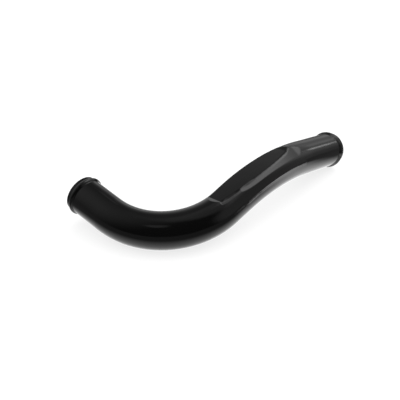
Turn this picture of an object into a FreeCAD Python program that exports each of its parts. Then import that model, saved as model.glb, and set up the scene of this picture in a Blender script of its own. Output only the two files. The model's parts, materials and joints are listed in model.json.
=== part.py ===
import FreeCAD, Part
import math
import os

Vector = FreeCAD.Vector
Placement = FreeCAD.Placement
Rotation = FreeCAD.Rotation

# Coolant tube: one bent steel tube with a hose bead near each open end and a flat pressed into its top.
# Millimetres and degrees. The tube lies on the floor as it comes to rest.

# Tube
TUBE_DIAMETER = 60.0
WALL_THICKNESS = 2.0
RIM_CHAMFER_WIDTH = 0.5

# Hose bead, rolled outwards near each open end, measured outside
BEAD_HEIGHT = 2.8
BEAD_CREST_RADIUS = 4.5
BEAD_FOOT_RADIUS = 1.5
STUB_LENGTH = 5.0

# Centre line from the left open end to the right open end
LEFT_STRAIGHT_LENGTH = 67.0
FIRST_BEND_RADIUS = 125.0
FIRST_BEND_ANGLE = 90.0
MIDDLE_STRAIGHT_LENGTH = 27.0
SECOND_BEND_RADIUS = 360.0
SECOND_BEND_ANGLE = 27.0
SECOND_BEND_ROLL_ANGLE = 84.0
RIGHT_STRAIGHT_LENGTH = 107.0

# Flat pressed into the top. It starts a little before the end of the first bend, follows an arc wider than
# the second bend and has a ramp at each end.
FLAT_LEAD_LENGTH = 13.0
FLAT_LENGTH = 163.0
FLAT_START_DEPTH = 3.1
FLAT_SLOPE_ANGLE = 3.2
FLAT_ARC_RADIUS = 1120.0
FLAT_TURN_ANGLE = -10.0
FLAT_LEFT_RAMP_ANGLE = 20.0
FLAT_RIGHT_RAMP_ANGLE = 11.0

# Narrow facet on the front edge of the flat at the left, up to where the shoulder takes over
LEAD_FACET_LENGTH = 70.0
LEAD_FACET_DEPTH = 0.35
LEAD_FACET_SLOPE_ANGLE = 0.8
LEAD_FACET_TURN_ANGLE = 30.0
LEAD_FACET_RAMP_ANGLE = 9.0

# Shoulder in front of the flat, which follows the second bend and runs on past the flat
SHOULDER_LEAD_LENGTH = 33.0
SHOULDER_LENGTH = 102.0
SHOULDER_DEPTH = 2.25
SHOULDER_TURN_ANGLE = 32.0
SHOULDER_RAMP_ANGLE = 10.0
SHOULDER_EDGE_RADIUS = 9.0

# Ridge pushed out by the press along the front, below the shoulder, with a straight brow above it
RIDGE_LENGTH = 147.0
RIDGE_HEIGHT = 0.8
RIDGE_RADIUS = 9.0
RIDGE_TURN_ANGLE = 80.0
RIDGE_BROW_ANGLE = 22.0
RIDGE_LEFT_RAMP_ANGLE = 4.0
RIDGE_RIGHT_RAMP_ANGLE = 20.0

# How the tube lies
LEFT_PITCH_ANGLE = 9.8
FIRST_BEND_ROLL_ANGLE = 14.2

# Where the press reaches: the last part of the first bend, and round the section all but the underside
PRESSED_BEND_ANGLE = 20.0
UNDERSIDE_START_ANGLE = 105.0
UNDERSIDE_END_ANGLE = 280.0

TUBE_RADIUS = TUBE_DIAMETER / 2
BEAD_HALF_WIDTH = math.sqrt(2 * BEAD_HEIGHT * (BEAD_CREST_RADIUS + BEAD_FOOT_RADIUS) - BEAD_HEIGHT**2)
BEAD_CENTRE = STUB_LENGTH + BEAD_HALF_WIDTH


# Frames along the centre line: local Z runs along the tube
def moved(frame, length):
    return frame.multiply(Placement(Vector(0, 0, length), Rotation()))


def rolled(frame, angle):
    return frame.multiply(Placement(Vector(), Rotation(Vector(0, 0, 1), angle)))


def bent(frame, radius, angle):
    return frame.multiply(Placement(Vector(), Rotation(Vector(0, 1, 0), angle), Vector(radius, 0, 0)))


def placed(shape, frame):
    copy = shape.copy()
    copy.Placement = frame
    return copy


# Unit vector in the section, turned from local X towards local Y
def turned(angle):
    return Vector(math.cos(math.radians(angle)), math.sin(math.radians(angle)), 0)


def outline(curves):
    return Part.Face(Part.Wire([curve.toShape() for curve in curves]))


def lines(points):
    return [Part.LineSegment(a, b) for a, b in zip(points, points[1:])]


# Section carried round a bend, towards local X when the radius is positive
def along_bend(section, frame, radius, angle):
    axis = frame.Rotation.multVec(Vector(0, 1, 0))
    return section.revolve(frame.multVec(Vector(radius, 0, 0)), axis, angle)


# Section carried straight on, up or down along local X by a ramp angle
def along_ramp(section, frame, angle, length):
    tilt = math.radians(angle)
    return section.extrude(frame.Rotation.multVec(Vector(math.sin(tilt), 0, math.cos(tilt))) * length)


# Section carried along an arc that bends away from local X, with a ramp at each end
def carried(section, frame, turn, radius, length, left_ramp, right_ramp, ramp_length):
    sweep = math.degrees(length / radius)
    left = rolled(frame, turn)
    right = rolled(bent(frame, -radius, -sweep), turn)
    run = along_bend(placed(section, left), frame, -radius, -sweep)
    left_end = along_ramp(placed(section, left), left, -left_ramp, -ramp_length)
    right_end = along_ramp(placed(section, right), right, right_ramp, ramp_length)
    return [run, left_end, right_end]


# Straight end with its bead, along local Z from the open end
def bead_end(frame, inset, length):
    wall = TUBE_RADIUS - inset
    centre = Vector(TUBE_RADIUS + BEAD_HEIGHT - BEAD_CREST_RADIUS, 0, BEAD_CENTRE)
    feet = []
    for side in (-1, 1):
        foot = Vector(TUBE_RADIUS + BEAD_FOOT_RADIUS, 0, BEAD_CENTRE + side * BEAD_HALF_WIDTH)
        toward = Vector(centre - foot).normalize()
        start = foot - Vector(BEAD_FOOT_RADIUS + inset, 0, 0)
        middle = foot + (toward - Vector(1, 0, 0)).normalize() * (BEAD_FOOT_RADIUS + inset)
        end = foot + toward * (BEAD_FOOT_RADIUS + inset)
        feet.append((start, middle, end))
    low, high = feet
    crest = centre + Vector(BEAD_CREST_RADIUS - inset, 0, 0)
    rim = [Vector(wall, 0, 0)]
    if inset == 0:
        rim = [Vector(wall - RIM_CHAMFER_WIDTH, 0, 0), Vector(wall, 0, RIM_CHAMFER_WIDTH)]
    curves = lines([Vector()] + rim + [low[0]])
    curves.append(Part.Arc(*low))
    curves.append(Part.Arc(low[2], crest, high[2]))
    curves.append(Part.Arc(high[2], high[1], high[0]))
    curves += lines([high[0], Vector(wall, 0, length), Vector(0, 0, length), Vector()])
    return placed(outline(curves).revolve(Vector(), Vector(0, 0, 1), 360), frame)


# Press section for a flat or facet: everything beyond this depth on the local X side
def facet_section(depth, inset):
    corner = Vector(TUBE_RADIUS - depth - inset, -TUBE_RADIUS, 0)
    return Part.makePlane(TUBE_RADIUS, TUBE_DIAMETER, corner, Vector(0, 0, 1))


# Sections of the ridge: a round crest and the straight brow from the tube to it
def ridge_sections(inset):
    crest = turned(0) * (TUBE_RADIUS + RIDGE_HEIGHT - RIDGE_RADIUS)
    brow = turned(-RIDGE_BROW_ANGLE) * (TUBE_RADIUS - RIDGE_RADIUS)
    outward = Vector(crest - brow).normalize().cross(Vector(0, 0, 1)) * (RIDGE_RADIUS - inset)
    disc = outline([Part.Circle(crest, Vector(0, 0, 1), RIDGE_RADIUS - inset)])
    return [disc, outline(lines([crest, brow, brow + outward, crest + outward, crest]))]


# Edges between the flat and the shoulder: the long ones where two cones meet
def shoulder_edges(solid):
    edges = []
    for edge in solid.Edges:
        kinds = {face.Surface.TypeId for face in solid.ancestorsOfType(edge, Part.Face)}
        if kinds == {"Part::GeomCone"} and edge.Length > TUBE_DIAMETER:
            edges.append(edge)
    return edges


# Whole tube as a solid bar: outside when inset is nothing, bore when inset is the wall
def bar(inset):
    left = Placement(Vector(), Rotation(Vector(1, 0, 0), 90 + LEFT_PITCH_ANGLE))
    first = rolled(moved(left, LEFT_STRAIGHT_LENGTH), FIRST_BEND_ROLL_ANGLE)
    near = bent(first, FIRST_BEND_RADIUS, FIRST_BEND_ANGLE - PRESSED_BEND_ANGLE)
    middle = rolled(bent(first, FIRST_BEND_RADIUS, FIRST_BEND_ANGLE), SECOND_BEND_ROLL_ANGLE)
    second = moved(middle, MIDDLE_STRAIGHT_LENGTH)
    right = moved(bent(second, -SECOND_BEND_RADIUS, -SECOND_BEND_ANGLE), RIGHT_STRAIGHT_LENGTH)
    back = right.multiply(Placement(Vector(), Rotation(Vector(0, 1, 0), 180)))

    # Round tube
    radius = TUBE_RADIUS - inset
    disc = outline([Part.Circle(Vector(), Vector(0, 0, 1), radius)])
    ends = [turned(angle) * radius for angle in (UNDERSIDE_START_ANGLE, UNDERSIDE_END_ANGLE)]
    bottom = turned((UNDERSIDE_START_ANGLE + UNDERSIDE_END_ANGLE) / 2) * radius
    split = outline([Part.Arc(ends[0], bottom, ends[1]), Part.Arc(ends[1], -bottom, ends[0])])
    turn = FIRST_BEND_ANGLE - PRESSED_BEND_ANGLE
    rounds = [along_bend(placed(disc, first), first, FIRST_BEND_RADIUS, turn)]
    split_near = placed(split, rolled(near, SECOND_BEND_ROLL_ANGLE))
    rounds.append(along_bend(split_near, near, FIRST_BEND_RADIUS, PRESSED_BEND_ANGLE))
    rounds.append(along_ramp(placed(split, middle), middle, 0, MIDDLE_STRAIGHT_LENGTH))
    rounds.append(along_bend(placed(split, second), second, -SECOND_BEND_RADIUS, -SECOND_BEND_ANGLE))
    rounds.append(bead_end(back, inset, RIGHT_STRAIGHT_LENGTH))

    # Ridge, which sinks into the tube at both ends
    ridge_ramp_length = 1.5 * RIDGE_HEIGHT / math.sin(math.radians(RIDGE_LEFT_RAMP_ANGLE))
    for section in ridge_sections(inset):
        rounds += carried(section, second, FLAT_TURN_ANGLE + RIDGE_TURN_ANGLE, SECOND_BEND_RADIUS,
                          RIDGE_LENGTH, -RIDGE_LEFT_RAMP_ANGLE, -RIDGE_RIGHT_RAMP_ANGLE, ridge_ramp_length)
    solid = bead_end(left, inset, LEFT_STRAIGHT_LENGTH).multiFuse(rounds)

    # Presses
    flat = bent(moved(middle, -FLAT_LEAD_LENGTH), 0, -FLAT_SLOPE_ANGLE)
    presses = carried(facet_section(FLAT_START_DEPTH, inset), flat, FLAT_TURN_ANGLE, FLAT_ARC_RADIUS,
                      FLAT_LENGTH, FLAT_LEFT_RAMP_ANGLE, FLAT_RIGHT_RAMP_ANGLE, TUBE_DIAMETER)
    lead = rolled(moved(middle, -FLAT_LEAD_LENGTH), FLAT_TURN_ANGLE + LEAD_FACET_TURN_ANGLE)
    lead_facet = placed(facet_section(LEAD_FACET_DEPTH, inset), lead)
    presses.append(along_ramp(lead_facet, lead, -LEAD_FACET_SLOPE_ANGLE, LEAD_FACET_LENGTH))
    presses.append(along_ramp(lead_facet, lead, -LEAD_FACET_RAMP_ANGLE, -TUBE_RADIUS))
    shoulder = bent(second, -SECOND_BEND_RADIUS, -math.degrees(SHOULDER_LEAD_LENGTH / SECOND_BEND_RADIUS))
    presses += carried(facet_section(SHOULDER_DEPTH, inset), shoulder, FLAT_TURN_ANGLE + SHOULDER_TURN_ANGLE,
                       SECOND_BEND_RADIUS, SHOULDER_LENGTH, 0, SHOULDER_RAMP_ANGLE, TUBE_DIAMETER)
    pressed = solid.cut(presses).Solids[0]
    return pressed.makeFillet(SHOULDER_EDGE_RADIUS - inset, shoulder_edges(pressed))


tube = bar(0).cut(bar(WALL_THICKNESS)).Solids[0]

# Origin on the floor, below the middle of the tube's box
box = tube.optimalBoundingBox()
tube.translate(Vector(-box.Center.x, -box.Center.y, -box.ZMin))

os.makedirs("parts", exist_ok=True)
tube.exportStep("parts/coolant_tube.step")
print("coolant_tube", tube.isValid(), round(tube.Volume, 1), len(tube.Faces), tube.optimalBoundingBox())
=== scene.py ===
import json
import math

import bpy
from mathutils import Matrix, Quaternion, Vector

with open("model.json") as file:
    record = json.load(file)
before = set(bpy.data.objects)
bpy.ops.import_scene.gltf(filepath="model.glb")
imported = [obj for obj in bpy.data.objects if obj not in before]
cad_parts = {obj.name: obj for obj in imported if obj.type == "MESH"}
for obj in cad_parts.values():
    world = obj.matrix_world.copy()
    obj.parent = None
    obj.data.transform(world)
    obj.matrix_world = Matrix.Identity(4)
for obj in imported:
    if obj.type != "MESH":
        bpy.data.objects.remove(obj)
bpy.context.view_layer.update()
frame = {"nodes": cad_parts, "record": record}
scene = bpy.context.scene

# Metres and degrees, apart from the lens and the sensor in millimetres

# Camera, as the photograph was taken: where it aims on the floor, its heading from +X, how far it looks down
# and how far away it is
CAMERA_AIM = (-0.0316, 0.0083, 0.0)
CAMERA_HEADING = 41.5
CAMERA_ELEVATION = 33.62
CAMERA_DISTANCE = 1.0485
CAMERA_ROLL = 0.12
CAMERA_LENS = 55.1
CAMERA_SENSOR = 36
CAMERA_NEAREST = 0.01

# Room that the paint mirrors. A direction is an azimuth to the right of the camera's heading and an
# elevation. Each soft light is full inside its inner angle and gone at its outer one.
ROOM_LEVEL = 0.06
CEILING = {"azimuth": 67, "elevation": 65, "inner": 24, "outer": 36, "strength": 0.24}
LEFT_WALL = {"azimuth": -70, "elevation": 35, "inner": 0, "outer": 72, "strength": 0.42}
RIGHT_WALL = {"azimuth": 95, "elevation": 20, "inner": 27, "outer": 42, "strength": 0.27}
BACK_WALL = {"azimuth": -13, "elevation": -2, "inner": 0, "outer": 49, "strength": 0.76}
BACK_PANEL = {"azimuth": 55, "elevation": 42, "inner": 24, "outer": 40, "strength": 0.5}
BACK_CARD = {"azimuth": 24, "elevation": 12, "inner": 8, "outer": 17, "strength": 0.32}
LOW_CARD = {"azimuth": 3, "elevation": 12, "inner": 3, "outer": 8, "strength": 0.26}
HIGH_CARD = {"azimuth": 39, "elevation": 18, "inner": 1, "outer": 7, "strength": 0.35}
TOP_LAMP = {"azimuth": 62, "elevation": 73, "inner": 4, "outer": 10, "strength": 0.2}
BACK_LAMP = {"azimuth": 53.7, "elevation": 17.2, "inner": 1, "outer": 4, "strength": 2.6}
REAR_LAMP = {"azimuth": -160, "elevation": 59, "inner": 5, "outer": 9, "strength": 0.25}
LIGHTS = (CEILING, LEFT_WALL, RIGHT_WALL, BACK_WALL, BACK_PANEL, BACK_CARD, LOW_CARD, HIGH_CARD,
          TOP_LAMP, BACK_LAMP, REAR_LAMP)

# Long soft box that leans from behind the tube to high on its right: its two ends, how far it reaches in full
# and at all on each side of the line between them, and how far it fades past its ends
BOX_LOW = (26, 40)
BOX_HIGH = (65, 62)
BOX_INNER = 3
BOX_OUTER = 22
BOX_FADE = 8
BOX_STRENGTH = 1.6

# Overhead fill: lights matt surfaces at a plain level and isn't mirrored in the paint
FILL_SIZE = 3.0
FILL_HEIGHT = 1.5
FILL_RADIANCE = 1.3

# Floor: its size, its glow to the camera and its colour, then a painted pool and spot of glow on it that only
# the paint mirrors, a painted reflection of light
FLOOR_SIZE = 3.2
FLOOR_GLOW = 0.8
FLOOR_COLOUR = (0.3, 0.3, 0.3, 1)
# Painted pool and spot of glow on the floor, seen only in the paint's reflections
POOL_CENTRE = (0.052, 0.064, 0.0)
POOL_RADII = (0.307, 0.243, 1.0)
POOL_INNER = 0.83
POOL_OUTER = 1.18
POOL_BRIGHT = 1.5
POOL_DIM = 0.18
SPOT_CENTRE = (0.16, -0.27, 0.0)
SPOT_RADIUS = 0.155
SPOT_BRIGHT = 3.2

# Paint: two near blacks that drift into each other, gloss that varies a little, orange peel and long waves.
# Its edges look rounded by the first radius up to the first place along X and by the second past the second.
PAINT_DARK = (0.0006, 0.0006, 0.0006, 1)
PAINT_LIGHT = (0.0016, 0.0016, 0.0015, 1)
PAINT_DRIFT_SCALE = 14
PAINT_DRIFT_DETAIL = 3
PAINT_GLOSSY = 0.06
PAINT_SATIN = 0.14
PAINT_GLOSS_SCALE = 45
PAINT_GLOSS_DETAIL = 4
PAINT_GLOSS_RANGE = (0.3, 0.7)
PAINT_IOR = 1.5
PEEL_SCALE = 600
PEEL_DETAIL = 2
PEEL_HEIGHT = 0.000006
WAVE_SCALE = 22
WAVE_DETAIL = 1
WAVE_HEIGHT = 0.0003
EDGE_RADII = (0.0015, 0.007)
EDGE_CHANGE = (0.02, 0.12)
EDGE_SAMPLES = 8

# Bore: thin dark coat, satin, near the open ends only, inside this share of the tube's radius
BORE_COLOUR = (0.012, 0.0115, 0.011, 1)
BORE_ROUGHNESS = 0.45
BORE_REACH = 0.06
BORE_SHARE = 0.96

# Plain white, and a millimetre in metres
WHITE = (1, 1, 1, 1)
MILLIMETRE = 0.001


def heading(angle, elevation):
    """Unit vector that points along a compass heading from +X, up by an elevation."""
    a = math.radians(angle)
    e = math.radians(elevation)
    return Vector((math.cos(a) * math.cos(e), math.sin(a) * math.cos(e), math.sin(e)))


def beyond(azimuth, elevation):
    """Unit vector to the right of the camera's heading by an azimuth, up by an elevation."""
    return heading(CAMERA_HEADING - azimuth, elevation)


# Camera
camera_data = bpy.data.cameras.new("camera")
camera = bpy.data.objects.new("camera", camera_data)
scene.collection.objects.link(camera)
look = heading(CAMERA_HEADING, -CAMERA_ELEVATION)
camera.location = Vector(CAMERA_AIM) - look * CAMERA_DISTANCE
level = look.to_track_quat("-Z", "Y")
camera.rotation_euler = (level @ Quaternion((0, 0, 1), math.radians(CAMERA_ROLL))).to_euler()
camera_data.lens = CAMERA_LENS
camera_data.sensor_width = CAMERA_SENSOR
camera_data.clip_start = CAMERA_NEAREST
scene.camera = camera


class Tree:
    """Short ways to add nodes to a node tree. A value is a number, a vector or another node's output."""

    def __init__(self, owner):
        owner.use_nodes = True
        self.nodes = owner.node_tree.nodes
        self.links = owner.node_tree.links

    def put(self, socket, value):
        if isinstance(value, bpy.types.NodeSocket):
            self.links.new(value, socket)
        else:
            socket.default_value = value

    def math(self, operation, first, second=0.0):
        node = self.nodes.new("ShaderNodeMath")
        node.operation = operation
        self.put(node.inputs[0], first)
        self.put(node.inputs[1], second)
        return node.outputs["Value"]

    def vector(self, operation, first, second=(0, 0, 0)):
        node = self.nodes.new("ShaderNodeVectorMath")
        node.operation = operation
        self.put(node.inputs[0], first)
        self.put(node.inputs[1], second)
        return node.outputs["Value" if operation in ("DOT_PRODUCT", "LENGTH") else "Vector"]

    def spread(self, value, start, end, low, high):
        node = self.nodes.new("ShaderNodeMapRange")
        node.interpolation_type = "SMOOTHSTEP"
        self.put(node.inputs["Value"], value)
        node.inputs["From Min"].default_value = start
        node.inputs["From Max"].default_value = end
        self.put(node.inputs["To Min"], low)
        self.put(node.inputs["To Max"], high)
        return node.outputs["Result"]

    def blend(self, factor, first, second):
        node = self.nodes.new("ShaderNodeMix")
        node.data_type = "RGBA"
        self.put(node.inputs["Factor"], factor)
        self.put(node.inputs[6], first)
        self.put(node.inputs[7], second)
        return node.outputs[2]

    def noise(self, place, scale, detail):
        node = self.nodes.new("ShaderNodeTexNoise")
        self.put(node.inputs["Vector"], place)
        node.inputs["Scale"].default_value = scale
        node.inputs["Detail"].default_value = detail
        return node.outputs["Fac"]

    def bump(self, height, distance, below=None):
        node = self.nodes.new("ShaderNodeBump")
        self.put(node.inputs["Height"], height)
        node.inputs["Distance"].default_value = distance
        if below is not None:
            self.put(node.inputs["Normal"], below)
        return node.outputs["Normal"]


# Gloss black paint outside, satin coat in the bore
def make_paint(mounts):
    material = bpy.data.materials.new("gloss_black_paint")
    tree = Tree(material)
    shader = tree.nodes["Principled BSDF"]
    place = tree.nodes.new("ShaderNodeTexCoord").outputs["Object"]

    # Inside an open end: near its axis and not far from it along the tube
    bore = None
    for mount in mounts:
        offset = tree.vector("SUBTRACT", place, mount["pos_m"])
        radius = BORE_SHARE * mount["dims"]["r_mm"] * MILLIMETRE
        aside = tree.vector("LENGTH", tree.vector("CROSS_PRODUCT", offset, mount["axis"]))
        near = tree.math("LESS_THAN", tree.vector("LENGTH", offset), BORE_REACH)
        inside = tree.math("MULTIPLY", near, tree.math("LESS_THAN", aside, radius))
        bore = inside if bore is None else tree.math("MAXIMUM", bore, inside)

    drift = tree.blend(tree.noise(place, PAINT_DRIFT_SCALE, PAINT_DRIFT_DETAIL), PAINT_DARK, PAINT_LIGHT)
    tree.put(shader.inputs["Base Color"], tree.blend(bore, drift, BORE_COLOUR))
    cloud = tree.noise(place, PAINT_GLOSS_SCALE, PAINT_GLOSS_DETAIL)
    gloss = tree.spread(cloud, *PAINT_GLOSS_RANGE, PAINT_GLOSSY, PAINT_SATIN)
    tree.put(shader.inputs["Roughness"], tree.spread(bore, 0, 1, gloss, BORE_ROUGHNESS))
    shader.inputs["IOR"].default_value = PAINT_IOR

    # Rounded edges, then long waves, then orange peel
    softened = tree.nodes.new("ShaderNodeBevel")
    softened.samples = EDGE_SAMPLES
    split = tree.nodes.new("ShaderNodeSeparateXYZ")
    tree.put(split.inputs["Vector"], place)
    tree.put(softened.inputs["Radius"], tree.spread(split.outputs["X"], *EDGE_CHANGE, *EDGE_RADII))
    waves = tree.bump(tree.noise(place, WAVE_SCALE, WAVE_DETAIL), WAVE_HEIGHT, softened.outputs["Normal"])
    peel = tree.bump(tree.noise(place, PEEL_SCALE, PEEL_DETAIL), PEEL_HEIGHT, waves)
    tree.put(shader.inputs["Normal"], peel)
    return material


paint = make_paint(frame["record"]["mounts"])
tube = frame["nodes"]["coolant_tube"]
for slot in tube.material_slots:
    slot.material = paint


# Floor: pale and matt, white to the camera but for the tube's shadow, with a painted pool of glow that only
# the paint mirrors
def make_floor_material():
    material = bpy.data.materials.new("floor_white")
    tree = Tree(material)
    shader = tree.nodes["Principled BSDF"]
    shader.inputs["Base Color"].default_value = FLOOR_COLOUR
    shader.inputs["Roughness"].default_value = 1.0
    shader.inputs["Specular IOR Level"].default_value = 0.0
    shader.inputs["Emission Color"].default_value = WHITE
    path = tree.nodes.new("ShaderNodeLightPath")
    glow = tree.math("MULTIPLY", path.outputs["Is Camera Ray"], FLOOR_GLOW)
    tree.put(shader.inputs["Emission Strength"], glow)

    # Painted pool and spot of glow, seen by gloss rays alone: a painted reflection of light in the paint
    place = tree.nodes.new("ShaderNodeMapping")
    place.vector_type = "TEXTURE"
    point = tree.nodes.new("ShaderNodeNewGeometry").outputs["Position"]
    tree.put(place.inputs["Vector"], point)
    place.inputs["Location"].default_value = POOL_CENTRE
    place.inputs["Scale"].default_value = POOL_RADII
    distance = tree.vector("LENGTH", place.outputs["Vector"])
    away = tree.vector("LENGTH", tree.vector("SUBTRACT", point, SPOT_CENTRE))
    painted_spot = tree.spread(away, 0.0, SPOT_RADIUS, SPOT_BRIGHT, 0.0)
    around = tree.spread(distance, POOL_INNER, POOL_OUTER, POOL_BRIGHT, POOL_DIM)
    painted_pool = tree.nodes.new("ShaderNodeEmission")
    painted_pool.inputs["Color"].default_value = WHITE
    tree.put(painted_pool.inputs["Strength"], tree.math("ADD", around, painted_spot))
    mix = tree.nodes.new("ShaderNodeMixShader")
    tree.put(mix.inputs[0], path.outputs["Is Glossy Ray"])
    tree.put(mix.inputs[1], shader.outputs["BSDF"])
    tree.put(mix.inputs[2], painted_pool.outputs["Emission"])
    tree.put(tree.nodes["Material Output"].inputs["Surface"], mix.outputs["Shader"])
    return material


bpy.ops.mesh.primitive_plane_add(size=FLOOR_SIZE, location=(0, 0, 0))
floor = bpy.context.object
floor.name = "floor"
floor.data.materials.append(make_floor_material())


# Room: the soft lights added up, and white behind the floor to the camera
def make_room(lights):
    world = bpy.data.worlds.new("studio")
    tree = Tree(world)
    ray = tree.nodes.new("ShaderNodeTexCoord").outputs["Generated"]
    level = ROOM_LEVEL
    for light in lights:
        facing = tree.vector("DOT_PRODUCT", ray, beyond(light["azimuth"], light["elevation"]))
        angle = tree.math("ARCCOSINE", facing)
        inner = math.radians(light["inner"])
        outer = math.radians(light["outer"])
        level = tree.math("ADD", tree.spread(angle, inner, outer, light["strength"], 0.0), level)
    low = beyond(*BOX_LOW)
    high = beyond(*BOX_HIGH)
    middle = (low + high).normalized()
    side = low.cross(high).normalized()
    across = tree.math("ARCSINE", tree.math("ABSOLUTE", tree.vector("DOT_PRODUCT", ray, side)))
    forward = tree.vector("DOT_PRODUCT", ray, middle)
    upward = tree.vector("DOT_PRODUCT", ray, side.cross(middle))
    along = tree.math("ABSOLUTE", tree.math("ARCTAN2", upward, forward))
    reach = low.angle(high) / 2
    ends = tree.spread(along, reach, reach + math.radians(BOX_FADE), BOX_STRENGTH, 0.0)
    box = tree.spread(across, math.radians(BOX_INNER), math.radians(BOX_OUTER), ends, 0.0)
    level = tree.math("ADD", box, level)
    path = tree.nodes.new("ShaderNodeLightPath")
    background = tree.nodes["Background"]
    background.inputs["Color"].default_value = WHITE
    tree.put(background.inputs["Strength"], tree.spread(path.outputs["Is Camera Ray"], 0, 1, level, 1.0))
    return world


scene.world = make_room(LIGHTS)

# Overhead fill
fill_data = bpy.data.lights.new("fill", "AREA")
fill_data.size = FILL_SIZE
fill_data.energy = FILL_RADIANCE * math.pi * FILL_SIZE**2
fill = bpy.data.objects.new("fill", fill_data)
scene.collection.objects.link(fill)
fill.location = (0, 0, FILL_HEIGHT)
fill.visible_camera = False
fill.visible_glossy = False

scene.view_settings.view_transform = "Standard"
